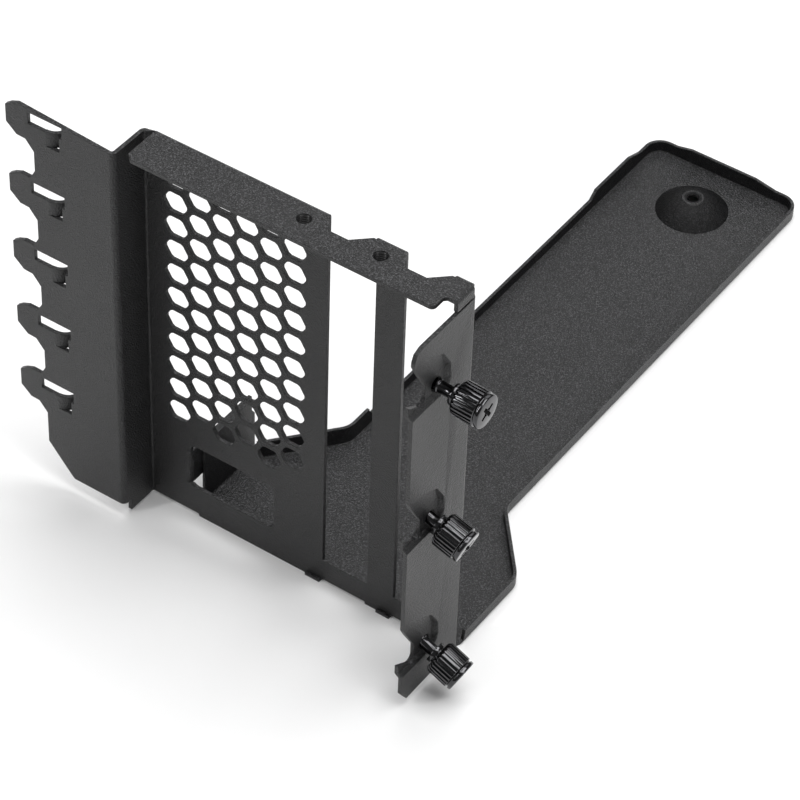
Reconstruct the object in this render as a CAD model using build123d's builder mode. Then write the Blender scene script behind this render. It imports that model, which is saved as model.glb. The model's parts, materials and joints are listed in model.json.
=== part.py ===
"""Support bracket for an expansion card: a folded slot plate, a pressed tray and three thumbscrews.

The frame is in millimetres. X runs along the slot plate's panel from the step wall on the left to the
flange on the right. Y runs from the panel's front face into the machine, along the tray. Z points up
from the panel's lower edge, which stands on the tray's floor.
"""
import math
import os

from build123d import *

os.makedirs("parts", exist_ok=True)

# Plate, panel and ledge
SHEET = 1.0
PLATE_W = 89.1
PLATE_H = 114.5
FOLD_R = 1.5
STEP_D = 11.1
LEDGE_D = 11.2
LEDGE_X0 = 3.2
LEDGE_X1 = PLATE_W
LEDGE_TAB_H = 2.9
LEDGE_TAB_D = 6.8
LEDGE_TAB_GAP = 0.4
SLOT_PITCH = 20.32
LEDGE_HOLE_X = PLATE_W - 41.98
LEDGE_HOLE_Y = -4.4
LEDGE_HOLE_D = 3.5
LEDGE_COLLAR_D = 5.0
LEDGE_COLLAR_H = 2.6
LEDGE_STEP_X = LEDGE_X1 - 3.3
LEDGE_CORNER_R = 1.2

# Mesh of six-sided holes
MESH_X0 = 8.42
MESH_DX = 6.6
MESH_Z0 = PLATE_H - 11.4
MESH_DZ = 7.185
MESH_LOWEST_Z = 31.0
MESH_RAIL = 7.5
MESH_FLATS = 5.75
MESH_STRETCH = 1.06
MESH_CORNER = 0.45

# Window, its inward tab and the two tall openings
WIN_X0 = 11.6
WIN_X1 = 36.2
WIN_Z0 = 8.3
WIN_Z1 = 22.1
WIN_R = 1.8
TAB_Z0 = 8.8
TAB_Z1 = 19.0
TAB_Y1 = 24.6
OPEN1_X0 = PLATE_W - 38.5
OPEN1_X1 = PLATE_W - 25.6
OPEN2_X0 = PLATE_W - 18.1
OPEN2_X1 = PLATE_W - 5.1
OPEN_Z0 = 6.4
NOTCH_D = 4.3

# Hook flange with five fingers
HOOK_X0 = -30.7
HOOK_BASE_X = -22.95
HOOK_TOP = PLATE_H + 0.4
HOOK_BOTTOM = 3.4
HOOK_CORNER_Z = 12.0
FINGER_TOP = HOOK_TOP + 1.0
FINGER_H = 13.2
RELIEF_D = 2.6

# Right flange, its pads and screw holes
FLANGE_TOP = PLATE_H - 3.6
FLANGE_BOTTOM = 1.4
FLANGE_D = 22.5
PAD_PITCH = 40.64
PAD_SHELF_TOP = PLATE_H - 23.1
PAD_LOWEST_Z = 8.0
PAD_SHELF_TO_HOLE = 2.9
PAD_HEIGHT = 15.0
PAD_FLAT = 7.0
PAD_DEPTH = 1.1
PAD_SLOPE = 42.0
PAD_EDGE_D = 16.3
PAD_SIDE_D = 8.3
SCREW_Y = -12.2
SCREW_HOLE_D = 3.7

# Tray
TRAY_SHEET = 0.8
TRAY_X0 = 28.2
TRAY_X1 = 73.9
TRAY_Y1 = 185.0
TRAY_WIDE_X1 = PLATE_W - 0.2
FLARE_Y0 = 44.0
FLARE_Y1 = 27.0
WALL_LOW = 2.9
WALL_HIGH = 5.0
WALL_END = 4.1
EAR_X0 = 11.6
EAR_Y0 = 4.6
EAR_Y1 = 24.7
EAR_TOP = 19.0
BOSS_X = 50.6
BOSS_Y = 167.9
BOSS_R = 9.7
BOSS_H = 4.2
BOSS_HOLE_D = 3.1
FRONT_TONGUES = ((13.9, 46.0, 0.0), (46.0, 50.2, -0.7), (63.0, 66.6, 0.0), (66.6, 70.4, -0.7))

# Thumbscrew
SHANK_D = 2.85
SHANK_L = 5.0
THREAD_D = 3.5
THREAD_L = 2.8
NECK_D = 5.2
NECK_L = 1.3
HEAD_D = 8.6
HEAD_L = 7.4
KNURLS = 24
RECESS_SPAN = 4.8
RECESS_ARM = 0.95
RECESS_TURN = 36
SCREW_OUTS = (5.1, 2.7, 3.65)
DROOPS = (3.5, 18.0, 24.5)
SCREW_NAMES = ("thumbscrew_top", "thumbscrew_middle", "thumbscrew_bottom")

stock_top = FINGER_TOP + 9.0
mesh_rows = 1 + int((MESH_Z0 - MESH_LOWEST_Z) / MESH_DZ)
mesh_cols = 1 + int((OPEN1_X0 - MESH_RAIL - MESH_X0) / MESH_DX)
fingers = 1 + int((FINGER_TOP - FINGER_H - HOOK_CORNER_Z) / SLOT_PITCH)
pads = 1 + int((PAD_SHELF_TOP - PAD_LOWEST_Z) / PAD_PITCH)
shelf_z = [PAD_SHELF_TOP - PAD_PITCH * i for i in range(pads)]
hole_z = [z + PAD_SHELF_TO_HOLE for z in shelf_z]
slope = math.radians(PAD_SLOPE)
skin_grow = SHEET * (1 - math.sin(slope)) / math.cos(slope)
pivot_x = PLATE_W - SHEET / 2 - PAD_DEPTH
head_end = NECK_L + HEAD_L

# The outline of the hook flange, seen from the front
hook_outline = [(-14.0, HOOK_TOP + 0.5), (-27.2, FINGER_TOP)]
for i in range(fingers):
    top = FINGER_TOP - SLOT_PITCH * i
    if i:
        hook_outline += [(-27.2, top)]
    hook_outline += [
        (-29.3, top - 0.9), (HOOK_X0, top - 3.0), (HOOK_X0, top - 7.9), (-27.8, top - 10.4),
        (-25.3, top - 10.5), (HOOK_BASE_X, top - FINGER_H),
    ]
    if i < fingers - 1:
        hook_outline += [(HOOK_BASE_X, top - 18.8), (-24.4, top - SLOT_PITCH)]
hook_outline += [(HOOK_BASE_X, HOOK_CORNER_Z), (-16.2, HOOK_BOTTOM + 0.8), (-15.4, HOOK_BOTTOM)]

# A six-sided hole of the mesh, flats at the top and bottom, a little wider than regular
r = MESH_FLATS / math.sqrt(3)
hexagon = [
    (MESH_STRETCH * r * math.cos(math.radians(60 * k)), r * math.sin(math.radians(60 * k))) for k in range(6)
]
with BuildSketch() as mesh_hole:
    Polygon(*hexagon, align=None)
    chamfer(mesh_hole.vertices(), MESH_CORNER)

# Right flange from the side (Y, Z): the notches of the free edge go in at each pad
flange_outline = [(-FLANGE_D + 2.2, FLANGE_BOTTOM), (-FLANGE_D, FLANGE_BOTTOM + 3.2)]
for z in reversed(shelf_z):
    flange_outline += [
        (-FLANGE_D, z + 3.2), (-PAD_EDGE_D, z - 0.6), (-PAD_EDGE_D, z + 5.4), (-21.1, z + 13.0),
        (-FLANGE_D, z + 15.6),
    ]
flange_outline += [(-FLANGE_D, FLANGE_TOP - 2.6), (-FLANGE_D + 0.8, FLANGE_TOP - 0.8),
                   (-FLANGE_D + 2.8, FLANGE_TOP)]
pad_outline = [
    (-30, PAD_SHELF_TOP), (-PAD_SIDE_D, PAD_SHELF_TOP), (-PAD_SIDE_D, PAD_SHELF_TOP + 7),
    (-11.5, PAD_SHELF_TOP + 12), (-20.5, PAD_SHELF_TOP + PAD_HEIGHT + 1),
    (-30, PAD_SHELF_TOP + PAD_HEIGHT + 1),
]

# Tray from above, outside of its walls
tray_outline = [
    (EAR_X0 + 1.2, 1.4), (TRAY_WIDE_X1 - 0.9, 1.4), (TRAY_WIDE_X1, 3.0), (TRAY_WIDE_X1, FLARE_Y1 - 0.8),
    (TRAY_X1, FLARE_Y0), (TRAY_X1, TRAY_Y1), (TRAY_X0, TRAY_Y1), (TRAY_X0, 42.2), (13.0, 24.0),
    (EAR_X0, 23.0), (EAR_X0, 3.0),
]

# The bent sheet as seen from above: hook flange, step wall, panel and right flange in one strip
with BuildPart() as io_plate:
    with BuildSketch(Plane.XY):
        with BuildLine():
            Polyline(
                (HOOK_X0, -STEP_D), (0, -STEP_D), (0, 0), (PLATE_W - SHEET, 0), (PLATE_W - SHEET, -FLANGE_D),
                (PLATE_W, -FLANGE_D), (PLATE_W, SHEET), (-SHEET, SHEET), (-SHEET, -STEP_D + SHEET),
                (HOOK_X0, -STEP_D + SHEET), close=True,
            )
        strip = make_face()
        outer = [(0, -STEP_D), (-SHEET, SHEET), (PLATE_W, SHEET)]
        inner = [(0, 0), (-SHEET, -STEP_D + SHEET), (PLATE_W - SHEET, 0)]
        fillet([v for v in strip.vertices() if min(math.dist((v.X, v.Y), p) for p in outer) < 0.01], FOLD_R)
        bends = [v for v in vertices() if min(math.dist((v.X, v.Y), p) for p in inner) < 0.01]
        fillet(bends, FOLD_R - SHEET)
    extrude(amount=FINGER_TOP + 1)

    # Trim the hook flange and the front of the step wall to the outline with the five fingers
    with BuildSketch(Plane.XZ.offset(STEP_D + 2)):
        with BuildLine():
            Polyline((-40, -5), (1, -5), (1, stock_top), (-40, stock_top), close=True)
        make_face()
        with BuildLine():
            Polyline((1, HOOK_TOP), *hook_outline, (1, HOOK_BOTTOM), close=True)
        make_face(mode=Mode.SUBTRACT)
    extrude(amount=-(2 + RELIEF_D), mode=Mode.SUBTRACT)
    # Trim the panel's top, lower where the ledge folds out and where the right flange ends
    with BuildSketch(Plane.XZ.offset(STEP_D - RELIEF_D)):
        with BuildLine():
            Polyline(
                (-5, PLATE_H), (LEDGE_X0, PLATE_H), (LEDGE_X0, PLATE_H - FOLD_R),
                (LEDGE_X1 - SHEET, PLATE_H - FOLD_R), (LEDGE_X1 - SHEET, FLANGE_TOP),
                (PLATE_W + 11, FLANGE_TOP), (PLATE_W + 11, stock_top), (-5, stock_top), close=True,
            )
        make_face()
    extrude(amount=-20, mode=Mode.SUBTRACT)

    # The flange ends lower than the ledge
    with Locations((PLATE_W, -22.0, FLANGE_TOP + 5)):
        Box(8, 34, 10, mode=Mode.SUBTRACT)
    # The ledge with its fold
    with BuildSketch(Plane.YZ.offset(LEDGE_X0)):
        with BuildLine():
            Polyline(
                (0, PLATE_H - FOLD_R), (SHEET, PLATE_H - FOLD_R), (SHEET, PLATE_H), (-LEDGE_D, PLATE_H),
                (-LEDGE_D, PLATE_H - SHEET), (0, PLATE_H - SHEET), close=True,
            )
        side = make_face()
        fillet([v for v in side.vertices() if v.X > 0.5 and v.Y > PLATE_H - 0.1], FOLD_R - 0.01)
    extrude(amount=LEDGE_X1 - SHEET - LEDGE_X0)
    # The ledge's outline from above: cut corners, two notches over the openings, the step at the right
    with BuildSketch(Plane.XY.offset(PLATE_H - 1.6)):
        with BuildLine():
            Polyline((LEDGE_X0 - 1, -9.8), (LEDGE_X0, -9.8), (4.8, -LEDGE_D), (4.8, -12), (2, -12),
                     close=True)
        make_face()
        with BuildLine():
            Polyline((LEDGE_X1 + 1, -12), (LEDGE_STEP_X, -12), (LEDGE_STEP_X, -LEDGE_TAB_D - 0.6),
                     (LEDGE_STEP_X + 0.6, -LEDGE_TAB_D), (LEDGE_X1 + 1, -LEDGE_TAB_D), close=True)
        make_face()
        for x0, x1 in ((OPEN1_X0, OPEN1_X1), (OPEN2_X0, OPEN2_X1)):
            with BuildLine():
                Polyline((x0, 2), (x0, 0), (x0 + 3.1, -NOTCH_D), (x1 - 4.7, -NOTCH_D), (x1, 0.1), (x1, 2),
                         close=True)
            notch = make_face()
    extrude(amount=3, mode=Mode.SUBTRACT)
    with Locations(
        (LEDGE_HOLE_X, LEDGE_HOLE_Y, PLATE_H - 0.5), (LEDGE_HOLE_X + SLOT_PITCH, LEDGE_HOLE_Y, PLATE_H - 0.5)
    ):
        with Locations((0, 0, -LEDGE_COLLAR_H / 2)):
            Cylinder(LEDGE_COLLAR_D / 2, LEDGE_COLLAR_H)
        Cylinder(LEDGE_HOLE_D / 2, 10, mode=Mode.SUBTRACT)
    uprights = [e for e in io_plate.edges() if e.center().Z > FLANGE_TOP]
    corner = (LEDGE_STEP_X, -LEDGE_D)
    fillet([e for e in uprights if math.dist((e.center().X, e.center().Y), corner) < 0.05], LEDGE_CORNER_R)
    # The ledge's end tab, folded down above the right flange
    with BuildSketch(Plane.XZ.offset(LEDGE_TAB_GAP)):
        with BuildLine():
            Polyline(
                (LEDGE_X1 - SHEET - 0.5, PLATE_H), (LEDGE_X1, PLATE_H), (LEDGE_X1, PLATE_H - LEDGE_TAB_H),
                (LEDGE_X1 - SHEET, PLATE_H - LEDGE_TAB_H), (LEDGE_X1 - SHEET, PLATE_H - SHEET),
                (LEDGE_X1 - SHEET - 0.5, PLATE_H - SHEET), close=True,
            )
        end = make_face()
        fillet([v for v in end.vertices() if v.X > LEDGE_X1 - 0.1 and v.Y > PLATE_H - 0.1], 0.9)
    extrude(amount=LEDGE_TAB_D - LEDGE_TAB_GAP)

    # Panel cut-outs: mesh, window and the two tall openings
    with BuildSketch(Plane.XZ.offset(1)):
        for col in range(mesh_cols):
            for row in range(mesh_rows - col % 2):
                z = MESH_Z0 - MESH_DZ * (row + 0.5 * (col % 2))
                with Locations((MESH_X0 + MESH_DX * col, z)):
                    add(mesh_hole.sketch)
        with Locations(((WIN_X0 + WIN_X1) / 2, (WIN_Z0 + WIN_Z1) / 2)):
            RectangleRounded(WIN_X1 - WIN_X0, WIN_Z1 - WIN_Z0, WIN_R)
        for x0, x1 in ((OPEN1_X0, OPEN1_X1), (OPEN2_X0, OPEN2_X1)):
            with Locations(((x0 + x1) / 2, (OPEN_Z0 + stock_top) / 2)):
                Rectangle(x1 - x0, stock_top - OPEN_Z0)
    extrude(amount=-(1 + SHEET + 0.5), mode=Mode.SUBTRACT)
    # The window's tab, folded inward at its left edge
    with Locations((WIN_X0, 0.5, (TAB_Z0 + TAB_Z1) / 2)):
        Box(2 * FOLD_R, 2.0, TAB_Z1 - TAB_Z0, mode=Mode.SUBTRACT)
    with BuildSketch(Plane.XY.offset(TAB_Z0)):
        with BuildLine():
            Polyline(
                (WIN_X0 - FOLD_R, 0), (WIN_X0, 0), (WIN_X0, TAB_Y1), (WIN_X0 - SHEET, TAB_Y1),
                (WIN_X0 - SHEET, SHEET), (WIN_X0 - FOLD_R, SHEET), close=True,
            )
        tab = make_face()
        fillet([v for v in tab.vertices() if v.X > WIN_X0 - 0.1 and v.Y < 0.1], FOLD_R - 0.01)
    extrude(amount=TAB_Z1 - TAB_Z0)

    # Hook windows, and the strip under each whose right end is bent back
    with BuildSketch(Plane.XZ.offset(STEP_D + 1)):
        for i in range(fingers):
            top = FINGER_TOP - SLOT_PITCH * i
            with Locations((-19.45, top - 4.0)):
                Rectangle(9.7, 3.4)
            with Locations((-17.3, top - 7.6)):
                Rectangle(3.8, 4.2)
    extrude(amount=-3, mode=Mode.SUBTRACT)
    for i in range(fingers):
        top = FINGER_TOP - SLOT_PITCH * i
        with BuildSketch(Plane.XY.offset(top - 9.6)):
            with BuildLine():
                back = Line((-19.6, -STEP_D + SHEET), (-19.6, -STEP_D))
                front = ThreePointArc((-19.6, -STEP_D), (-17.3, -STEP_D + 0.6), (-15.6, -STEP_D + 2.4))
                Line((-15.6, -STEP_D + 2.4), (-16.4, -STEP_D + 3.1))
                ThreePointArc((-16.4, -STEP_D + 3.1), (-17.8, -STEP_D + 1.5), (-19.6, -STEP_D + SHEET))
            make_face()
        extrude(amount=4.0)

# One pad's dent and the skin behind it, drawn once at the highest pad, with sloped sides
with BuildPart() as pocket:
    with BuildSketch(Plane.YZ.offset(PLATE_W)):
        with BuildLine():
            Polyline(*pad_outline, close=True)
        outline = make_face()
        fillet([v for v in outline.vertices() if v.X > -20], 2.4)
    extrude(amount=-PAD_DEPTH, taper=PAD_SLOPE)
    with BuildSketch(Plane.XZ):
        with BuildLine():
            Polyline(
                (PLATE_W, PAD_SHELF_TOP + PAD_HEIGHT), (PLATE_W - PAD_DEPTH, PAD_SHELF_TOP + PAD_FLAT),
                (PLATE_W - PAD_DEPTH, PAD_SHELF_TOP - 3), (PLATE_W, PAD_SHELF_TOP - 3), close=True,
            )
        make_face()
    extrude(amount=40, mode=Mode.INTERSECT)
with BuildPart() as skin:
    with BuildSketch(Plane.YZ.offset(PLATE_W - SHEET)):
        with BuildLine():
            Polyline(*pad_outline, close=True)
        outline = make_face()
        fillet([v for v in outline.vertices() if v.X > -20], 2.4)
        offset(amount=skin_grow, kind=Kind.ARC)
    extrude(amount=-PAD_DEPTH, taper=PAD_SLOPE)
    with BuildSketch(Plane.XZ):
        with BuildLine():
            Polyline(
                (PLATE_W - SHEET, PAD_SHELF_TOP + PAD_HEIGHT),
                (PLATE_W - SHEET - PAD_DEPTH, PAD_SHELF_TOP + PAD_FLAT),
                (PLATE_W - SHEET - PAD_DEPTH, PAD_SHELF_TOP - 3), (PLATE_W - SHEET, PAD_SHELF_TOP - 3),
                close=True,
            )
        make_face()
    extrude(amount=40, mode=Mode.INTERSECT)

with BuildPart() as plate:
    add(io_plate.part)
    with Locations(*[(0, 0, -PAD_PITCH * i) for i in range(pads)]):
        add(skin.part)
        add(pocket.part, mode=Mode.SUBTRACT)
    # Trim the right flange to its outline with a notch at each pad
    with BuildSketch(Plane.YZ.offset(PLATE_W - 6)):
        with BuildLine():
            Polyline((-5, FLANGE_TOP + 0.3), (-40, FLANGE_TOP + 0.3), (-40, -5), (-5, -5),
                     (-5, FLANGE_BOTTOM), *flange_outline, (-5, FLANGE_TOP), close=True)
        trim = make_face()
        fillet([v for v in trim.vertices() if abs(v.X + PAD_EDGE_D) < 0.01], 1.5)
    extrude(amount=8, mode=Mode.SUBTRACT)
    with BuildSketch(Plane.XZ):
        with Locations((PLATE_W, (FLANGE_BOTTOM - 5) / 2)):
            Rectangle(2 * FOLD_R + 0.4, FLANGE_BOTTOM + 5)
    extrude(amount=12, both=True, mode=Mode.SUBTRACT)
    # Clearance holes for the thumbscrews
    with Locations(*[Location((pivot_x, SCREW_Y, z), (0, 90, 0)) for z in hole_z]):
        Cylinder(SCREW_HOLE_D / 2, 8, mode=Mode.SUBTRACT)

# Tray: pressed sheet with a low wall, its floor's top at Z = 0
with BuildPart() as tray_shell:
    with BuildSketch(Plane.XY.offset(-TRAY_SHEET)):
        with BuildLine():
            Polyline(*tray_outline, close=True)
        plan = make_face()
        fillet([v for v in plan.vertices() if v.Y > 25], 5.0)
    extrude(amount=TRAY_SHEET + WALL_HIGH)
    fillet(
        [e for e in tray_shell.edges() if abs(e.center().Z + TRAY_SHEET) < 0.001 and e.center().Y > 5],
        0.7,
    )
    with BuildSketch(Plane.XY):
        with BuildLine():
            Polyline(*tray_outline, close=True)
        plan = make_face()
        fillet([v for v in plan.vertices() if v.Y > 25], 5.0)
        offset(amount=-TRAY_SHEET, kind=Kind.ARC)
    extrude(amount=WALL_HIGH + 1, mode=Mode.SUBTRACT)
    # No wall at the front and at the ear: the floor runs on under the panel there
    with BuildSketch(Plane.YZ.offset(-5)):
        with BuildLine():
            Polyline((-5, 0), (3.6, 0), (4.6, WALL_LOW + 2.5), (-5, WALL_LOW + 2.5), close=True)
        make_face()
    extrude(amount=100, mode=Mode.SUBTRACT)
    with Locations((EAR_X0, 13, 4)):
        Box(4.2, 22.6, 8, mode=Mode.SUBTRACT)
    # Lower the wall where it isn't high: right side, left side, far side
    with BuildSketch(Plane.YZ.offset(60)):
        with BuildLine():
            Polyline((-5, WALL_LOW), (TRAY_Y1 + 1, WALL_LOW), (TRAY_Y1 + 1, 8), (-5, 8), close=True)
        make_face()
    extrude(amount=40, mode=Mode.SUBTRACT)
    with BuildSketch(Plane.YZ.offset(20)):
        with BuildLine():
            Polyline((50.0, 8), (50.0, WALL_HIGH - 0.5), (51.2, WALL_LOW), (151.8, WALL_LOW),
                     (154.2, WALL_HIGH - 0.2), (154.6, 8), close=True)
        make_face()
        with BuildLine():
            Polyline((170.8, 8), (170.8, WALL_HIGH), (176.5, WALL_LOW + 0.2), (186, WALL_LOW + 0.2),
                     (186, 8), close=True)
        make_face()
    extrude(amount=12, mode=Mode.SUBTRACT)
    with BuildSketch(Plane.XZ.offset(-TRAY_Y1 + 5)):
        with BuildLine():
            Polyline((31.9, 8), (31.9, WALL_LOW + 0.2), (35.5, WALL_LOW + 0.2), (40, WALL_END),
                     (62.8, WALL_END), (68.6, WALL_LOW), (76, WALL_LOW), (76, 8), close=True)
        make_face()
    extrude(amount=-8, mode=Mode.SUBTRACT)
    # The boss, pressed up from the floor and hollow below
    with BuildSketch(Plane.XZ.offset(-BOSS_Y)):
        with BuildLine():
            Polyline((BOSS_X, BOSS_H), (BOSS_X, -0.4), (BOSS_X + BOSS_R, -0.4), (BOSS_X + BOSS_R, 0))
            ThreePointArc((BOSS_X + BOSS_R, 0), (BOSS_X + 5.8, 1.45), (BOSS_X + 2.9, BOSS_H))
            Line((BOSS_X + 2.9, BOSS_H), (BOSS_X, BOSS_H))
        make_face()
    revolve(axis=Axis((BOSS_X, BOSS_Y, 0), (0, 0, 1)))
    with BuildSketch(Plane.XZ.offset(-BOSS_Y)):
        with BuildLine():
            Polyline((BOSS_X, BOSS_H - TRAY_SHEET), (BOSS_X, -1.5), (BOSS_X + BOSS_R - 0.4, -1.5),
                     (BOSS_X + BOSS_R - 0.4, -TRAY_SHEET))
            ThreePointArc((BOSS_X + BOSS_R - 0.4, -TRAY_SHEET), (BOSS_X + 5.5, 0.5),
                          (BOSS_X + 2.0, BOSS_H - TRAY_SHEET))
            Line((BOSS_X + 2.0, BOSS_H - TRAY_SHEET), (BOSS_X, BOSS_H - TRAY_SHEET))
        make_face()
    revolve(axis=Axis((BOSS_X, BOSS_Y, 0), (0, 0, 1)), mode=Mode.SUBTRACT)
    with Locations((BOSS_X, BOSS_Y, BOSS_H)):
        Cylinder(BOSS_HOLE_D / 2, 4, mode=Mode.SUBTRACT)
        Cylinder(BOSS_HOLE_D / 2 + 0.45, 0.5, mode=Mode.SUBTRACT)
    # The ear, folded up from the floor's left edge against the plate's tab
    with BuildSketch(Plane.XZ.offset(-EAR_Y0)):
        with BuildLine():
            Polyline((EAR_X0, -TRAY_SHEET), (EAR_X0 + 4, -TRAY_SHEET), (EAR_X0 + 4, 0),
                     (EAR_X0 + TRAY_SHEET, 0), (EAR_X0 + TRAY_SHEET, EAR_TOP), (EAR_X0, EAR_TOP), close=True)
        ear = make_face()
        fillet([v for v in ear.vertices() if v.X < EAR_X0 + 0.1 and v.Y < 0], 1.6)
        fillet([v for v in vertices() if abs(v.X - EAR_X0 - TRAY_SHEET) < 0.1 and abs(v.Y) < 0.1], 0.8)
    extrude(amount=-(EAR_Y1 - EAR_Y0))
    with BuildSketch(Plane.YZ.offset(EAR_X0 - 1)):
        with BuildLine():
            Polyline((EAR_Y1 + 1, EAR_TOP + 1), (EAR_Y1 + 1, 14.0), (EAR_Y1, 14.0), (EAR_Y1 - 3.5, EAR_TOP),
                     (EAR_Y1 - 3.5, EAR_TOP + 1), close=True)
        make_face()
        with BuildLine():
            Polyline((EAR_Y0 - 1, EAR_TOP + 1), (EAR_Y0 - 1, EAR_TOP - 2.5), (EAR_Y0, EAR_TOP - 2.5),
                     (EAR_Y0 + 2.5, EAR_TOP), (EAR_Y0 + 2.5, EAR_TOP + 1), close=True)
        make_face()
    extrude(amount=3, mode=Mode.SUBTRACT)
    # Front tongues that pass under the panel's lower edge
    with BuildSketch(Plane.XY.offset(-TRAY_SHEET)):
        for x0, x1, y in FRONT_TONGUES:
            with Locations(((x0 + x1) / 2, (y + 2.0) / 2)):
                Rectangle(x1 - x0, 2.0 - y)
    extrude(amount=TRAY_SHEET)

# One thumbscrew along +X: the shank and thread lie behind X = 0, the neck and head in front of it
with BuildPart() as screw:
    with BuildSketch(Plane.XZ):
        with BuildLine():
            Polyline(
                (-SHANK_L - THREAD_L, 0), (-SHANK_L - THREAD_L, THREAD_D / 2 - 0.6),
                (-SHANK_L - THREAD_L + 0.6, THREAD_D / 2), (-SHANK_L, THREAD_D / 2),
                (-SHANK_L + 0.25, SHANK_D / 2), (0, SHANK_D / 2), (0, NECK_D / 2),
                (NECK_L, NECK_D / 2), (NECK_L, HEAD_D / 2 - 0.7), (NECK_L + 0.7, HEAD_D / 2),
                (head_end - 1.5, HEAD_D / 2), (head_end - 1.2, HEAD_D / 2 - 0.5),
                (head_end - 0.9, HEAD_D / 2 - 0.5), (head_end - 0.9, HEAD_D / 2 - 0.15),
                (head_end - 0.2, HEAD_D / 2 - 0.15), (head_end, HEAD_D / 2 - 0.35),
                (head_end, 0), close=True,
            )
        make_face()
    revolve(axis=Axis.X)
    with BuildSketch(Plane.YZ.offset(NECK_L - 0.1)):
        with PolarLocations(HEAD_D / 2 + 0.12, KNURLS):
            Rectangle(0.62, 0.62, rotation=45)
    extrude(amount=HEAD_L - 1.4, mode=Mode.SUBTRACT)
    with BuildSketch(Plane.YZ.offset(head_end)):
        Rectangle(RECESS_SPAN, RECESS_ARM, rotation=RECESS_TURN)
        Rectangle(RECESS_ARM, RECESS_SPAN, rotation=RECESS_TURN)
        Circle(1.15)
    extrude(amount=-1.9, taper=12, mode=Mode.SUBTRACT)

# The row's frame: the origin is the middle of the whole part's base, so every piece moves by one shift
pieces = {"slot_plate": plate.part, "support_tray": tray_shell.part}
for i in range(pads):
    tilted = Location((pivot_x, SCREW_Y, hole_z[i]), (0, DROOPS[i], 0)) * Location((SCREW_OUTS[i], 0, 0))
    pieces[SCREW_NAMES[i]] = tilted * screw.part
boxes = [piece.bounding_box() for piece in pieces.values()]
mid_x = (min(b.min.X for b in boxes) + max(b.max.X for b in boxes)) / 2
mid_y = (min(b.min.Y for b in boxes) + max(b.max.Y for b in boxes)) / 2
shift = Location((-mid_x, -mid_y, -min(b.min.Z for b in boxes)))
for name, piece in pieces.items():
    placed = shift * piece
    placed.label = name
    export_step(placed, "parts/" + name + ".step")
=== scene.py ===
"""Dresses the card support bracket and photographs it in a small studio.

The fixed frame gives the folded slot plate, the pressed tray and the places of the thumbscrews. Here the
sheets are filed to shape and powder coated, the boss is pressed, the ledge's holes are tapped, and the
three thumbscrews are turned, knurled and plated. Everything is in metres, with the tray's underside on
the floor at Z = 0.
"""
import json
from math import atan2, pi, radians, tau

import bpy
from bpy.props import FloatProperty, FloatVectorProperty, IntProperty, PointerProperty
from mathutils import Matrix, Vector


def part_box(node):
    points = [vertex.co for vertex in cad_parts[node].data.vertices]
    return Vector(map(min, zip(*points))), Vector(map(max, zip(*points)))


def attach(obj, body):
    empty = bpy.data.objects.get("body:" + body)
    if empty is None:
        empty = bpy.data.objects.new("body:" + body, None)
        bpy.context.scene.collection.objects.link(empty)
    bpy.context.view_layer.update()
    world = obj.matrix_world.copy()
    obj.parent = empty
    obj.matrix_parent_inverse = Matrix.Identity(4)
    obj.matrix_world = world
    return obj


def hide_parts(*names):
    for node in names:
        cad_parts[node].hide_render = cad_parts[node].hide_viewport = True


bl_info = {
    "name": "Card support bracket",
    "version": (1, 0, 0),
    "blender": (4, 5, 0),
    "location": "3D View > Sidebar > Bracket",
    "description": "Coats the folded sheets, turns the thumbscrews and sets up the studio",
    "category": "Object",
}

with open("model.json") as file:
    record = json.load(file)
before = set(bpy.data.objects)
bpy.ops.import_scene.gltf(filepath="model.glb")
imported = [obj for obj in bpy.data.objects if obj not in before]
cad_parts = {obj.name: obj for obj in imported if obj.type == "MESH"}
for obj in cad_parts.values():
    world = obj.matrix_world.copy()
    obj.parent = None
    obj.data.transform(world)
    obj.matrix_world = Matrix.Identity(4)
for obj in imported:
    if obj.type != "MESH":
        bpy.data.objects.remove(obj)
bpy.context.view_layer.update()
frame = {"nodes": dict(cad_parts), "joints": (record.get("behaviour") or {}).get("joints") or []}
PLATE_LOW, PLATE_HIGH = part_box("slot_plate")
FINGERS = 5
LEDGE_HOLES = 2
WELD = 0.000002


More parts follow.
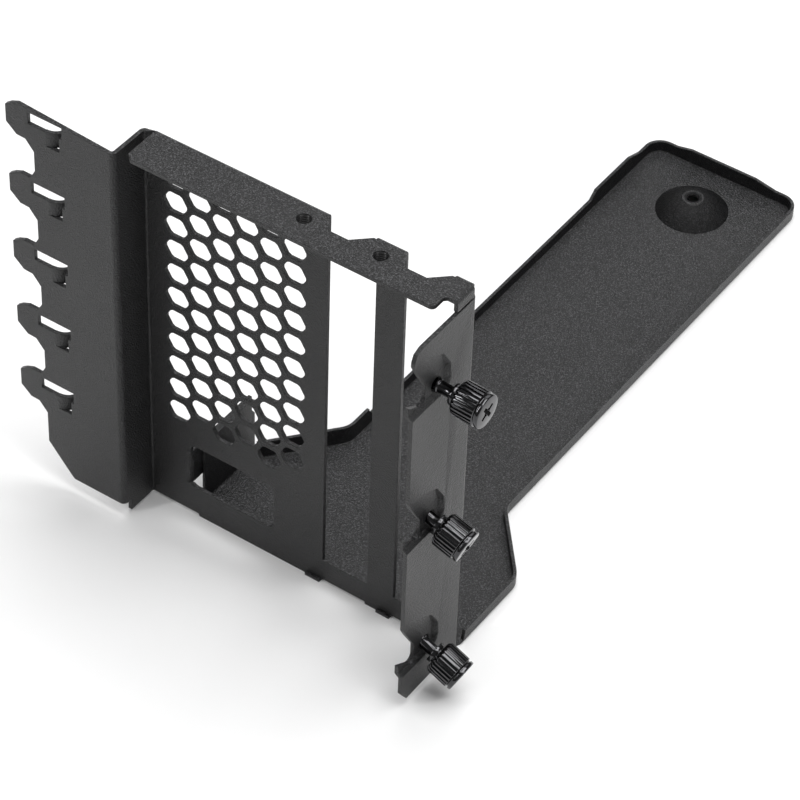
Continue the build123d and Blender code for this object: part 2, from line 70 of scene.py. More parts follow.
class CoatSettings(bpy.types.PropertyGroup):
    """Powder coat and cut edges of the folded sheets"""

    hook_width: FloatProperty(
        name="Hook width", description="From the fingers' tips to the step wall's outer face",
        default=0.0307, min=0.02, max=0.04, precision=5, unit="LENGTH")
    slot_pitch: FloatProperty(
        name="Slot pitch", description="From one finger to the next",
        default=0.02032, min=0.02, max=0.021, precision=5, unit="LENGTH")
    finger_lowering: FloatProperty(
        name="Finger lowering", description="How far the fingers' top edges are filed down",
        default=0.0011, min=0.0, max=0.002, precision=5, unit="LENGTH")
    wall_lowering: FloatProperty(
        name="Wall lowering", description="How far the step wall's top edge is filed down",
        default=0.0015, min=0.0, max=0.002, precision=5, unit="LENGTH")
    end_step: FloatProperty(
        name="End step", description="From the tray's wide right side to the drop in its far wall",
        default=0.0289, min=0.02, max=0.04, precision=5, unit="LENGTH")
    end_slope: FloatProperty(
        name="End slope", description="Length of the slope down from the high stretch of the far wall",
        default=0.0062, min=0.0, max=0.008, precision=5, unit="LENGTH")
    notch_corner: FloatProperty(
        name="Notch corner", description="From the fingers' tips to the first ledge notch's back corner",
        default=0.0942, min=0.09, max=0.1, precision=5, unit="LENGTH")
    pad_rounding: FloatProperty(
        name="Pad rounding", description="Rounding of the pressed pads' edges in the right flange",
        default=0.00035, min=0.0, max=0.0005, precision=5, unit="LENGTH")
    edge_radius: FloatProperty(
        name="Edge radius", description="Rounding of the coated cut edges",
        default=0.0003, min=0.0, max=0.0004, precision=5, unit="LENGTH")
    colour: FloatVectorProperty(
        name="Coat colour", description="Colour of the powder coat in full light",
        default=(0.004, 0.004, 0.0046), size=3, min=0.0, max=1.0, subtype="COLOR")
    # Grain and painted highlight: this pale speck colour is shown mostly on faces that look up.
    speck_and_painted_highlight_colour: FloatVectorProperty(
        name="Grain colour", description="Colour of the coat where its grain stands up",
        default=(0.082, 0.082, 0.086), size=3, min=0.0, max=1.0, subtype="COLOR")
    roughness: FloatProperty(
        name="Roughness", description="How dull the coat is",
        default=0.34, min=0.1, max=1.0, subtype="FACTOR")
    grain_size: FloatProperty(
        name="Grain size", description="Spacing of the coat's fine sandy grain",
        default=0.0003, min=0.0001, max=0.003, precision=5, unit="LENGTH")
    grain_height: FloatProperty(
        name="Grain height", description="Height of the coat's grain",
        default=0.0002, min=0.0, max=0.0003, precision=6, unit="LENGTH")


class ThumbscrewSettings(bpy.types.PropertyGroup):
    """Sizes and plating of a thumbscrew"""

    head_diameter: FloatProperty(
        name="Head diameter", description="Over the knurl's ridges",
        default=0.0086, min=0.004, max=0.0086, precision=5, unit="LENGTH")
    head_length: FloatProperty(
        name="Head length", description="From the neck to the end face",
        default=0.0074, min=0.004, max=0.01, precision=5, unit="LENGTH")
    neck_diameter: FloatProperty(
        name="Neck diameter", description="Of the collar between shank and head",
        default=0.0052, min=0.003, max=0.007, precision=5, unit="LENGTH")
    neck_length: FloatProperty(
        name="Neck length", description="Of the collar between shank and head",
        default=0.0013, min=0.0005, max=0.003, precision=5, unit="LENGTH")
    shank_diameter: FloatProperty(
        name="Shank diameter", description="Of the smooth shank",
        default=0.00285, min=0.002, max=0.003, precision=5, unit="LENGTH")
    shank_length: FloatProperty(
        name="Shank length", description="From the thread to the neck",
        default=0.005, min=0.003, max=0.005, precision=5, unit="LENGTH")
    ring_diameter: FloatProperty(
        name="Ring diameter", description="Of the small ring that the thread runs out into",
        default=0.0033, min=0.003, max=0.0034, precision=5, unit="LENGTH")
    thread_diameter: FloatProperty(
        name="Thread diameter", description="Over the thread's crests",
        default=0.0035, min=0.003, max=0.0035, precision=5, unit="LENGTH")
    thread_length: FloatProperty(
        name="Thread length", description="Of the threaded end",
        default=0.0028, min=0.002, max=0.0028, precision=5, unit="LENGTH")
    thread_pitch: FloatProperty(
        name="Thread pitch", description="From crest to crest",
        default=0.0008, min=0.0004, max=0.0012, precision=5, unit="LENGTH")
    knurls: IntProperty(
        name="Knurls", description="Number of ridges round the head", default=24, min=12, max=40)
    knurl_depth: FloatProperty(
        name="Knurl depth", description="Depth of the grooves between the ridges",
        default=0.00042, min=0.0001, max=0.0006, precision=5, unit="LENGTH")
    recess_width: FloatProperty(
        name="Recess width", description="Across the cross recess in the end face",
        default=0.0048, min=0.003, max=0.006, precision=5, unit="LENGTH")
    recess_turn: FloatProperty(
        name="Recess turn", description="How far the cross recess is turned",
        default=radians(36), subtype="ANGLE", unit="ROTATION")
    colour: FloatVectorProperty(
        name="Plating colour", description="Reflection colour of the black nickel",
        default=(0.075, 0.075, 0.078), size=3, min=0.0, max=1.0, subtype="COLOR")
    roughness: FloatProperty(
        name="Plating roughness", description="How dull the plating is",
        default=0.1, min=0.05, max=1.0, subtype="FACTOR")


class BossSettings(bpy.types.PropertyGroup):
    """Shape and place of the tray's pressed boss"""

    width: FloatProperty(
        name="Width", description="Of the boss at the tray's floor",
        default=0.0195, min=0.015, max=0.022, precision=5, unit="LENGTH")
    height: FloatProperty(
        name="Height", description="Of the boss above the tray's floor",
        default=0.00425, min=0.003, max=0.005, precision=5, unit="LENGTH")
    hole: FloatProperty(
        name="Hole", description="Diameter of the hole in the boss's top",
        default=0.0031, min=0.002, max=0.004, precision=5, unit="LENGTH")
    sheet: FloatProperty(
        name="Sheet", description="Thickness of the tray's sheet",
        default=0.0008, min=0.0005, max=0.0015, precision=5, unit="LENGTH")
    fullness: FloatProperty(
        name="Fullness", description="How much the boss is domed, where 1 is a straight cone",
        default=1.7, min=1.0, max=3.0)
    shine: FloatProperty(
        name="Shine", description="How strongly the stretched coat on the boss reflects",
        default=0.2, min=0.0, max=1.0, subtype="FACTOR")
    from_left: FloatProperty(
        name="From the left", description="From the tray's left side to the boss's middle",
        default=0.039, min=0.0, max=0.1, precision=5, unit="LENGTH")
    from_end: FloatProperty(
        name="From the end", description="From the tray's far wall to the boss's middle",
        default=0.0171, min=0.0, max=0.1, precision=5, unit="LENGTH")


class TappingSettings(bpy.types.PropertyGroup):
    """Thread and place of the ledge's two screw holes"""

    bore: FloatProperty(
        name="Bore", description="Diameter of the holes",
        default=0.0035, min=0.002, max=0.0035, precision=5, unit="LENGTH")
    thread_depth: FloatProperty(
        name="Thread depth", description="How far the thread stands into the bore",
        default=0.00025, min=0.0001, max=0.0005, precision=5, unit="LENGTH")
    pitch: FloatProperty(
        name="Pitch", description="From crest to crest",
        default=0.0006, min=0.0003, max=0.001, precision=5, unit="LENGTH")
    length: FloatProperty(
        name="Length", description="Of the threaded stretch",
        default=0.0031, min=0.001, max=0.0032, precision=5, unit="LENGTH")
    lead: FloatProperty(
        name="Lead", description="Smooth start of the bore",
        default=0.0003, min=0.0, max=0.001, precision=5, unit="LENGTH")
    from_left: FloatProperty(
        name="From the left", description="From the fingers' tips to the first hole",
        default=0.07782, min=0.0, max=0.1, precision=5, unit="LENGTH")
    from_front: FloatProperty(
        name="From the front", description="From the right flange's free edge to the holes",
        default=0.0181, min=0.0, max=0.03, precision=5, unit="LENGTH")
    ledge_top: FloatProperty(
        name="Ledge top", description="From the plate's lowest point to the ledge's top",
        default=0.1145, min=0.1, max=0.12, precision=5, unit="LENGTH")
    spacing: FloatProperty(
        name="Spacing", description="Between the two holes",
        default=0.02032, min=0.02, max=0.021, precision=5, unit="LENGTH")


class StudioSettings(bpy.types.PropertyGroup):
    """Camera, lights and floor"""

    azimuth: FloatProperty(
        name="Azimuth", description="How far the camera stands round to the right",
        default=radians(33.389), subtype="ANGLE", unit="ROTATION")
    elevation: FloatProperty(
        name="Elevation", description="How far the camera looks down",
        default=radians(43.648), subtype="ANGLE", unit="ROTATION")
    roll: FloatProperty(
        name="Roll", description="How far the camera is tilted about its view",
        default=radians(2.188), subtype="ANGLE", unit="ROTATION")
    distance: FloatProperty(
        name="Distance", description="From the camera to the point that it looks at",
        default=0.87, min=0.3, max=3.0, unit="LENGTH")
    aim: FloatVectorProperty(
        name="Aim", description="The point that the camera looks at, from the plate's low left front corner",
        default=(0.08124, 0.05331, 0.03521), size=3, subtype="XYZ", unit="LENGTH")
    focal_length: FloatProperty(
        name="Focal length", description="Of the lens, in millimetres on a 36 mm wide sensor",
        default=165.567, min=35.0, max=300.0)
    floor_colour: FloatVectorProperty(
        name="Floor colour", description="Colour of the pale floor",
        default=(0.94, 0.94, 0.94), size=3, min=0.0, max=1.0, subtype="COLOR")
    room_light: FloatProperty(
        name="Room light", description="Strength of the even light of the white room",
        default=0.18, min=0.0, max=5.0)
    back_softbox: FloatProperty(
        name="Back softbox", description="Power of the large softbox behind and above",
        default=5.5, min=0.0, max=100.0, unit="POWER")
    top_softbox: FloatProperty(
        name="Top softbox", description="Power of the large softbox overhead",
        default=19.0, min=0.0, max=100.0, unit="POWER")
    side_softbox: FloatProperty(
        name="Side softbox", description="Power of the narrow softbox at the right",
        default=3.0, min=0.0, max=100.0, unit="POWER")
    front_strip: FloatProperty(
        name="Front strip", description="Power of the thin strip light at the front left",
        default=4.5, min=0.0, max=100.0, unit="POWER")


def only(piece):
    """Selects one piece and makes it active."""
    bpy.ops.object.select_all(action="DESELECT")
    piece.select_set(True)
    bpy.context.view_layer.objects.active = piece


def apply_modifier(piece, kind, **settings):
    """Adds one modifier with its settings and applies it."""
    only(piece)
    modifier = piece.modifiers.new(kind.title(), kind)
    for name, value in settings.items():
        setattr(modifier, name, value)
    bpy.ops.object.modifier_apply(modifier=modifier.name)


def new_material(name):
    """A material with its shader and a function that adds and links nodes."""
    material = bpy.data.materials.new(name)
    material.use_nodes = True
    nodes, links = material.node_tree.nodes, material.node_tree.links
    shader = nodes["Principled BSDF"]

    def add(kind, inputs=(), **settings):
        node = nodes.new(kind)
        for key, value in settings.items():
            setattr(node, key, value)
        for socket, value in dict(inputs).items():
            if isinstance(value, bpy.types.NodeSocket):
                links.new(value, node.inputs[socket])
            else:
                node.inputs[socket].default_value = value
        return node

    return material, shader, add, links


def ramp(node, *stops):
    """Sets a colour ramp's stops, each a place and a colour or a grey."""
    elements = node.color_ramp.elements
    while len(elements) < len(stops):
        elements.new(0.5)
    for element, (place, colour) in zip(elements, stops):
        element.position = place
        grey = (colour,) * 3 if isinstance(colour, float) else tuple(colour)
        element.color = (*grey, 1.0)


def select_points(piece, wanted):
    """Selects the vertices for which wanted(point) is true, and leaves edit mode open."""
    only(piece)
    bpy.ops.object.mode_set(mode="EDIT")
    bpy.ops.mesh.select_mode(type="VERT")
    bpy.ops.mesh.select_all(action="DESELECT")
    bpy.ops.object.mode_set(mode="OBJECT")
    for vertex in piece.data.vertices:
        vertex.select = bool(wanted(vertex.co))
    bpy.ops.object.mode_set(mode="EDIT")


def nudge(piece, wanted, move):
    """Moves the points for which wanted(point) is true."""
    select_points(piece, wanted)
    if any(vertex.select for vertex in piece.data.vertices):
        bpy.ops.transform.translate(value=move)
    bpy.ops.object.mode_set(mode="OBJECT")


def turn_ring(name, profile, sides):
    """Turns a closed ring about the Z axis: a circle is drawn out point by point along its section."""
    radius, height = profile[0]
    bpy.ops.object.select_all(action="DESELECT")
    bpy.ops.mesh.primitive_circle_add(vertices=sides, radius=radius, fill_type="NOTHING",
                                      location=(0, 0, height))
    piece = bpy.context.object
    piece.name = piece.data.name = name
    bpy.ops.object.transform_apply(location=True, rotation=True, scale=True)
    bpy.ops.object.mode_set(mode="EDIT")
    bpy.ops.mesh.select_mode(type="EDGE")
    bpy.ops.mesh.select_all(action="SELECT")
    for next_radius, next_height in (*profile[1:], profile[0]):
        bpy.ops.mesh.extrude_region_move(TRANSFORM_OT_translate={"value": (0, 0, next_height - height)})
        ratio = next_radius / radius
        bpy.ops.transform.resize(value=(ratio, ratio, 1), center_override=(0, 0, 0))
        radius, height = next_radius, next_height
    bpy.ops.mesh.select_all(action="SELECT")
    bpy.ops.mesh.remove_doubles(threshold=WELD)
    bpy.ops.mesh.select_all(action="SELECT")
    bpy.ops.mesh.normals_make_consistent(inside=False)
    bpy.ops.object.mode_set(mode="OBJECT")
    return piece


def dressed_copy(node, name):
    """Copies a folded sheet out of the frame and welds its loose triangles into whole faces."""
    piece = bpy.data.objects.new(name, frame["nodes"][node].data.copy())
    bpy.context.scene.collection.objects.link(piece)
    only(piece)
    bpy.ops.mesh.customdata_custom_splitnormals_clear()
    bpy.ops.object.mode_set(mode="EDIT")
    bpy.ops.mesh.select_all(action="SELECT")
    bpy.ops.mesh.remove_doubles(threshold=WELD)
    bpy.ops.object.mode_set(mode="OBJECT")
    return piece


def file_plate(plate, s):
    """Files the tops of the fingers and the step wall down, and cuts the ledge notches' back corners off."""
    wall_x, top = PLATE_LOW.x + s.hook_width, PLATE_HIGH.z
    finger_roots, ledge_start, fold = wall_x - 0.02, wall_x + 0.0031, 0.0017
    ledge_corner, panel_back = wall_x + 0.0032, PLATE_LOW.y + 0.0234
    fold_back, notch_back = PLATE_LOW.y + 0.0143, 0.0215
    finger_tops = [top - s.slot_pitch * i for i in range(FINGERS)]
    nudge(plate, lambda p: p.x < finger_roots and any(-0.0013 < p.z - z < 0.0001 for z in finger_tops),
          (0, 0, -s.finger_lowering))
    nudge(plate, lambda p: finger_roots <= p.x < ledge_start and p.z > top - 0.002,
          (0, 0, -s.wall_lowering))
    nudge(plate, lambda p: abs(p.x - wall_x) < fold and p.z > top - 0.0027 and p.y < fold_back,
          (0, 0, -0.00045))
    nudge(plate, lambda p: abs(p.x - ledge_corner) < 0.0002 and p.z > top - 0.0016 and p.y > panel_back,
          (0, 0, 0.0001 - s.wall_lowering))
    for i in range(LEDGE_HOLES):
        corner = PLATE_LOW + Vector((s.notch_corner + i * s.slot_pitch, notch_back, 0))
        nudge(plate, lambda p: (p.xy - corner.xy).length < 0.0003 and p.z > top - 0.003,
              (-0.000585, 0.00055, 0))


def slope_tray(tray, s):
    """Slopes the drop at the end of the far wall's high stretch."""
    low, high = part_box("support_tray")
    step_x = high.x - s.end_step
    nudge(tray, lambda p: abs(p.x - step_x) < 0.0002 and p.y > high.y - 0.0015
          and 0.003 < p.z - low.z < 0.0042, (s.end_slope, 0, 0))


def round_pads(plate, width):
    """Rounds the rims of the dents in the right flange, one about each thumbscrew's axis."""
    pivots = [Vector(joint["pos_m"]) for joint in frame["joints"]]
    dent_depth, surface = 0.0011, 0.00003

    def on_rim(p):
        away = min((p.yz - pivot.yz).length for pivot in pivots)
        outer = abs(p.x - PLATE_HIGH.x) < surface and away < 0.0042
        inner = abs(p.x - PLATE_HIGH.x + dent_depth) < surface and 0.0022 < away < 0.0032
        return outer or inner

    select_points(plate, on_rim)
    bpy.ops.mesh.select_mode(type="EDGE")
    bpy.ops.mesh.bevel(offset=width, segments=3, affect="EDGES", clamp_overlap=False)
    bpy.ops.object.mode_set(mode="OBJECT")


def powder_coat(settings, name, shine, tone):
    """Satin black powder coat: a fine sandy grain in relief, a soft orange peel and faint cloudiness.

    The grain's pale specks are partly painted highlight: they are kept mostly to faces that look up, where
    the top light would catch them.
    """
    material, shader, add, links = new_material(name)
    dullness_low, dullness_high = settings.roughness - 0.04, settings.roughness + 0.05
    place = add("ShaderNodeTexCoord").outputs["Object"]
    grain = add("ShaderNodeTexNoise", {"Vector": place, "Scale": 1 / settings.grain_size, "Detail": 4.0,
                                       "Roughness": 0.7})
    specks = add("ShaderNodeTexVoronoi", {"Vector": place, "Scale": 0.8 / settings.grain_size,
                                          "Randomness": 1.0}, feature="SMOOTH_F1")
    peel = add("ShaderNodeTexNoise", {"Vector": place, "Scale": 260.0, "Detail": 1.0})
    clouds = add("ShaderNodeTexNoise", {"Vector": place, "Scale": 24.0, "Detail": 4.0})
    sparkle = add("ShaderNodeTexNoise", {"Vector": place, "Scale": 0.85 / settings.grain_size, "Detail": 2.0})
    upward = add("ShaderNodeSeparateXYZ", {"Vector": add("ShaderNodeNewGeometry").outputs["Normal"]})
    # Painted highlight: faces that do not look up lose most of their pale specks, so up-facing faces read
    # lighter.
    painted_highlight_mask = add("ShaderNodeMapRange", {"Value": upward.outputs["Z"], "From Min": 0.6, "From Max": 0.95,
                                     "To Min": -0.1, "To Max": 0.0})
    specks_and_painted_highlight = add("ShaderNodeMath", {0: sparkle.outputs["Fac"], 1: painted_highlight_mask.outputs["Result"]}, operation="ADD")
    colour = add("ShaderNodeValToRGB", {"Fac": specks_and_painted_highlight.outputs["Value"]})
    # A tone below 1 darkens both colours of the coat; the boss's copy uses it as painted shade.
    flat, speck_highlight_colour = ([tone * c for c in shade] for shade in (settings.colour, settings.speck_and_painted_highlight_colour))
    ramp(colour, (0.5, flat), (0.68, speck_highlight_colour))
    dullness = add("ShaderNodeMapRange", {"Value": clouds.outputs["Fac"], "From Min": 0.3, "From Max": 0.7,
                                          "To Min": dullness_low, "To Max": dullness_high})
    relief = add("ShaderNodeMath", {0: grain.outputs["Fac"], 1: specks.outputs["Distance"]}, operation="ADD")
    edges = add("ShaderNodeBevel", {"Radius": settings.edge_radius}, samples=6)
    soft = add("ShaderNodeBump", {"Strength": 0.1, "Distance": 2 * settings.grain_height,
                                  "Height": peel.outputs["Fac"], "Normal": edges.outputs["Normal"]})
    bump = add("ShaderNodeBump", {"Strength": 1.0, "Distance": settings.grain_height,
                                  "Height": relief.outputs["Value"], "Normal": soft.outputs["Normal"]})
    links.new(colour.outputs["Color"], shader.inputs["Base Color"])
    links.new(dullness.outputs["Result"], shader.inputs["Roughness"])
    links.new(bump.outputs["Normal"], shader.inputs["Normal"])
    shader.inputs["IOR"].default_value = 1.5
    shader.inputs["Specular IOR Level"].default_value = shine
    return material


def black_nickel(settings):
    """Glossy black nickel on turned steel: faint lathe rings and a little unevenness in the plating."""
    material, shader, add, links = new_material("black_nickel")
    dullness_low, dullness_high = settings.roughness - 0.05, settings.roughness + 0.06
    place = add("ShaderNodeAttribute", attribute_name="turned").outputs["Vector"]
    flat = add("ShaderNodeVectorMath", {0: place, 1: (1.0, 1.0, 0.0)}, operation="MULTIPLY")
    radius = add("ShaderNodeVectorMath", {0: flat.outputs["Vector"]}, operation="LENGTH")
    rings = add("ShaderNodeTexNoise", {"W": radius.outputs["Value"], "Scale": 9000.0, "Detail": 2.0},
                noise_dimensions="1D")
    uneven = add("ShaderNodeTexNoise", {"Vector": place, "Scale": 900.0, "Detail": 3.0})
    dullness = add("ShaderNodeMapRange", {"Value": uneven.outputs["Fac"], "From Min": 0.3, "From Max": 0.7,
                                          "To Min": dullness_low, "To Max": dullness_high})
    tint = add("ShaderNodeValToRGB", {"Fac": uneven.outputs["Fac"]})
    dark = [0.8 * c for c in settings.colour]
    ramp(tint, (0.35, dark), (0.65, settings.colour))
    bump = add("ShaderNodeBump", {"Strength": 0.4, "Distance": 0.00001, "Height": rings.outputs["Fac"]})
    links.new(tint.outputs["Color"], shader.inputs["Base Color"])
    links.new(dullness.outputs["Result"], shader.inputs["Roughness"])
    links.new(bump.outputs["Normal"], shader.inputs["Normal"])
    shader.inputs["Metallic"].default_value = 1.0
    return material


def turn_profile(name, start, steps, sides):
    """Turns a solid along +Z from a disc at start, by steps that each have a length and a radius."""
    height, radius = start
    bpy.ops.object.select_all(action="DESELECT")
    bpy.ops.mesh.primitive_circle_add(vertices=sides, radius=radius, fill_type="NGON",
                                      location=(0, 0, height))
    piece = bpy.context.object
    piece.name = piece.data.name = name
    bpy.ops.object.transform_apply(location=True, rotation=True, scale=True)
    bpy.ops.object.mode_set(mode="EDIT")
    bpy.ops.mesh.select_all(action="SELECT")
    for length, next_radius in steps:
        bpy.ops.mesh.extrude_region_move(TRANSFORM_OT_translate={"value": (0, 0, length)})
        ratio = next_radius / radius
        bpy.ops.transform.resize(value=(ratio, ratio, 1), center_override=(0, 0, 0))
        radius = next_radius
    bpy.ops.mesh.select_all(action="SELECT")
    bpy.ops.mesh.normals_make_consistent(inside=False)
    bpy.ops.object.mode_set(mode="OBJECT")
    return piece


def select_faces(piece, wanted):
    """Selects the faces for which wanted(centre, normal) is true, and leaves edit mode open."""
    only(piece)
    bpy.ops.object.mode_set(mode="EDIT")
    bpy.ops.mesh.select_mode(type="FACE")
    bpy.ops.mesh.select_all(action="DESELECT")
    bpy.ops.object.mode_set(mode="OBJECT")
    for face in piece.data.polygons:
        face.select = bool(wanted(face.center, face.normal))
    bpy.ops.object.mode_set(mode="EDIT")


def cut_knurl(screw, settings, low, high):
    """Presses straight grooves into the head between two heights."""
    side = tau / (4 * settings.knurls)

    def in_groove(centre, normal):
        step = int((atan2(centre.y, centre.x) % tau) / side)
        return low < centre.z < high and abs(normal.z) < 0.9 and step % 4 < 2

    select_faces(screw, in_groove)
    bpy.ops.mesh.extrude_region_shrink_fatten(
        TRANSFORM_OT_shrink_fatten={"value": -settings.knurl_depth})
    bpy.ops.object.mode_set(mode="OBJECT")


def threaded_rod(settings, low, high):
    """A closed rod with a helical thread from low to high, and a chamfered tip at low.

    A plain rod of stacked rings is pinched level by level: a point's level says how near it is to a crest.
    """
    crest, pitch = settings.thread_diameter / 2, settings.thread_pitch
    depth, rise, levels, chamfer = 0.6 * pitch, pitch / 8, 24, 6
    flat_root, flank = 0.15, 0.6
    rings = round((high - low) / rise)
    rod = turn_profile("threaded_rod", (low, crest), ((rise, crest),) * rings, 2 * levels)

    def level_of(p):
        turns = (p.z - low) / pitch + atan2(p.y, p.x) / tau
        return round(levels * abs(2 * (turns % 1.0) - 1))

    def pinch(wanted, ratio):
        select_points(rod, wanted)
        bpy.ops.transform.resize(value=(ratio, ratio, 1), center_override=(0, 0, 0))
        bpy.ops.object.mode_set(mode="OBJECT")

    for level in range(levels + 1):
        reach = min(max((level / levels - flat_root) / flank, 0), 1)
        if reach < 1:
            pinch(lambda p: level_of(p) == level, 1 - depth * (1 - reach) / crest)
    for i in range(chamfer):
        pinch(lambda p: abs(p.z - low - i * rise) < rise / 2, 1 - (chamfer - i) * rise / crest)
    return rod


def cross_cutter(settings, top):
    """Two crossed tapered blades and a cone, as deep as the recess of the end face."""
    wide, thin, depth = settings.recess_width / 2, 0.00052, 0.0022
    cutter = turn_profile("recess_cutter", (top - depth, 0.0004), ((depth + 0.0004, 0.0012),), 32)
    blades = [cutter]
    for turn in (0, pi / 2):
        bpy.ops.object.select_all(action="DESELECT")
        bpy.ops.mesh.primitive_cube_add(size=2, location=(0, 0, top - depth / 2 + 0.0002))
        blade = bpy.context.object
        blade.scale = (wide, thin, depth / 2 + 0.0002)
        blade.rotation_euler.z = turn
        bpy.ops.object.transform_apply(location=True, rotation=True, scale=True)
        select_faces(blade, lambda centre, normal: normal.z < -0.5)
        bpy.ops.transform.resize(value=(0.45, 0.45, 1), center_override=(0, 0, 0))
        bpy.ops.object.mode_set(mode="OBJECT")
        blades.append(blade)
    for blade in blades[1:]:
        apply_modifier(cutter, "BOOLEAN", operation="UNION", object=blade, solver="EXACT")
        bpy.data.objects.remove(blade)
    only(cutter)
    cutter.rotation_euler.z = settings.recess_turn
    bpy.ops.object.transform_apply(location=True, rotation=True, scale=True)
    return cutter


def turn_thumbscrew(settings):
    """One thumbscrew along +Z, with its neck's inner face at Z = 0."""
    s = settings
    head, neck = s.head_diameter / 2, s.neck_diameter / 2
    end = s.neck_length + s.head_length
    steps = (
        (s.shank_length - 0.0041, s.shank_diameter / 2), (0.0002, s.ring_diameter / 2),
        (0.0005, s.ring_diameter / 2), (0.0002, s.shank_diameter / 2), (0.0035, s.shank_diameter / 2),
        (0, neck), (s.neck_length - 0.0003, neck),
        (0, neck - 0.00035), (0.0003, neck - 0.00035), (0, head - 0.0007), (0.0007, head),
        (s.head_length - 0.0022, head), (0.0003, head - 0.0005), (0.0003, head - 0.0005),
        (0, head - 0.00015), (0.0007, head - 0.00015), (0.0002, head - 0.00035),
    )
    screw = turn_profile("thumbscrew", (-s.shank_length - 0.0003, s.shank_diameter / 2), steps, 4 * s.knurls)
    cut_knurl(screw, s, s.neck_length + 0.0001, end - 0.0016)
    apply_modifier(screw, "BEVEL", width=0.00009, segments=2, limit_method="ANGLE", angle_limit=radians(30),
                   use_clamp_overlap=True)
    cutter = cross_cutter(s, end)
    apply_modifier(screw, "BOOLEAN", operation="DIFFERENCE", object=cutter, solver="EXACT")
    bpy.data.objects.remove(cutter)
    rod = threaded_rod(s, -s.shank_length - s.thread_length, -s.shank_length)
    apply_modifier(screw, "BOOLEAN", operation="UNION", object=rod, solver="EXACT")
    bpy.data.objects.remove(rod)
    only(screw)
    bpy.ops.object.shade_smooth_by_angle(angle=radians(28))
    turned = screw.data.attributes.new("turned", "FLOAT_VECTOR", "POINT")
    turned.data.foreach_set("vector", [c for v in screw.data.vertices for c in v.co])
    return screw


class BRACKET_OT_coat_sheets(bpy.types.Operator):
    """Powder coat the slot plate and the tray, cut edges and all"""

    bl_idname = "bracket.coat_sheets"
    bl_label = "Coat the folded sheets"

    def execute(self, context):
        settings = context.scene.bracket_coat
        coat = powder_coat(settings, "coat", 0.5, 1.0)
        plate = dressed_copy("slot_plate", "coated_slot_plate")
        file_plate(plate, settings)
        tray = dressed_copy("support_tray", "coated_support_tray")
        slope_tray(tray, settings)
        for piece, node in ((plate, "slot_plate"), (tray, "support_tray")):
            only(piece)
            bpy.ops.object.mode_set(mode="EDIT")
            bpy.ops.mesh.select_all(action="SELECT")
            bpy.ops.mesh.dissolve_limited(angle_limit=radians(0.4))
            bpy.ops.object.mode_set(mode="OBJECT")
            if node == "slot_plate":
                round_pads(piece, settings.pad_rounding)
            bpy.ops.object.shade_smooth_by_angle(angle=radians(32))
            piece.data.materials.clear()
            piece.data.materials.append(coat)
            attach(piece, "bracket")
            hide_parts(node)
        return {"FINISHED"}


class BRACKET_OT_press_boss(bpy.types.Operator):
    """Press the domed boss with its rolled hole at the tray's far end"""

    bl_idname = "bracket.press_boss"
    bl_label = "Press the boss"

    def execute(self, context):
        s = context.scene.bracket_boss
        wide, hole, top, floor = s.width / 2, s.hole / 2, s.height, s.sheet
        lip, steps = 0.0007, 14
        section = [(hole, floor + top - 0.0004), (hole + 0.00012, floor + top - 0.0001),
                   (hole + 0.0003, floor + top), (hole + lip, floor + top)]
        for i in range(1, steps + 1):
            turn = i / steps
            section.append((
                hole + lip + (wide - hole - lip) * turn,
                floor + (top - 0.0002) * (1 - turn ** s.fullness),
            ))
        section += [(wide - 0.0003, floor - 0.0003), (0.6 * wide, floor + 0.001),
                    (hole + 0.001, floor + top - 0.0006)]
        boss = turn_ring("pressed_boss", section, 96)
        low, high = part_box("support_tray")
        boss.location = (low.x + s.from_left, high.y - s.from_end, low.z)
        bpy.ops.object.transform_apply(location=True, rotation=True, scale=True)
        bpy.ops.object.shade_smooth_by_angle(angle=radians(40))
        # Painted shade: the boss takes a copy of the coat with both colours darkened to 0.35, besides its
        # weaker shine.
        boss.data.materials.append(powder_coat(context.scene.bracket_coat, "boss_coat_painted_shade", s.shine, 0.35))
        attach(boss, "bracket")
        return {"FINISHED"}


class BRACKET_OT_tap_ledge_holes(bpy.types.Operator):
    """Tap the screw holes of the ledge: a dark threaded lining in each"""

    bl_idname = "bracket.tap_ledge_holes"
    bl_label = "Tap the ledge's holes"

    def execute(self, context):
        s = context.scene.bracket_tapping
        outer, inner, pitch = s.bore / 2 - 0.00002, s.bore / 2 - s.thread_depth, s.pitch
        root = outer - 0.00004
        profile = ((root, 0.05), (inner, 0.45), (inner, 0.6), (root, 0.95))
        crests = int(s.length / pitch)
        section = [(outer, -s.lead)]
        for i in range(crests):
            section += [(radius, -s.lead - pitch * (i + share)) for radius, share in profile]
        section.append((outer, -s.lead - pitch * crests))
        material, shader, add, links = new_material("dark_thread")
        place = add("ShaderNodeTexCoord").outputs["Object"]
        wear = add("ShaderNodeTexNoise", {"Vector": place, "Scale": 2500.0, "Detail": 2.0})
        tone = add("ShaderNodeValToRGB", {"Fac": wear.outputs["Fac"]})
        ramp(tone, (0.4, (0.004, 0.004, 0.004)), (0.75, (0.02, 0.02, 0.021)))
        links.new(tone.outputs["Color"], shader.inputs["Base Color"])
        shader.inputs["Roughness"].default_value = 0.35
        for i in range(LEDGE_HOLES):
            lining = turn_ring("ledge_thread_%d" % (i + 1), section, 64)
            lining.location = (PLATE_LOW.x + s.from_left + i * s.spacing, PLATE_LOW.y + s.from_front,
                               PLATE_LOW.z + s.ledge_top)
            bpy.ops.object.transform_apply(location=True, rotation=True, scale=True)
            bpy.ops.object.shade_smooth_by_angle(angle=radians(30))
            lining.data.materials.append(material)
            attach(lining, "bracket")
        return {"FINISHED"}


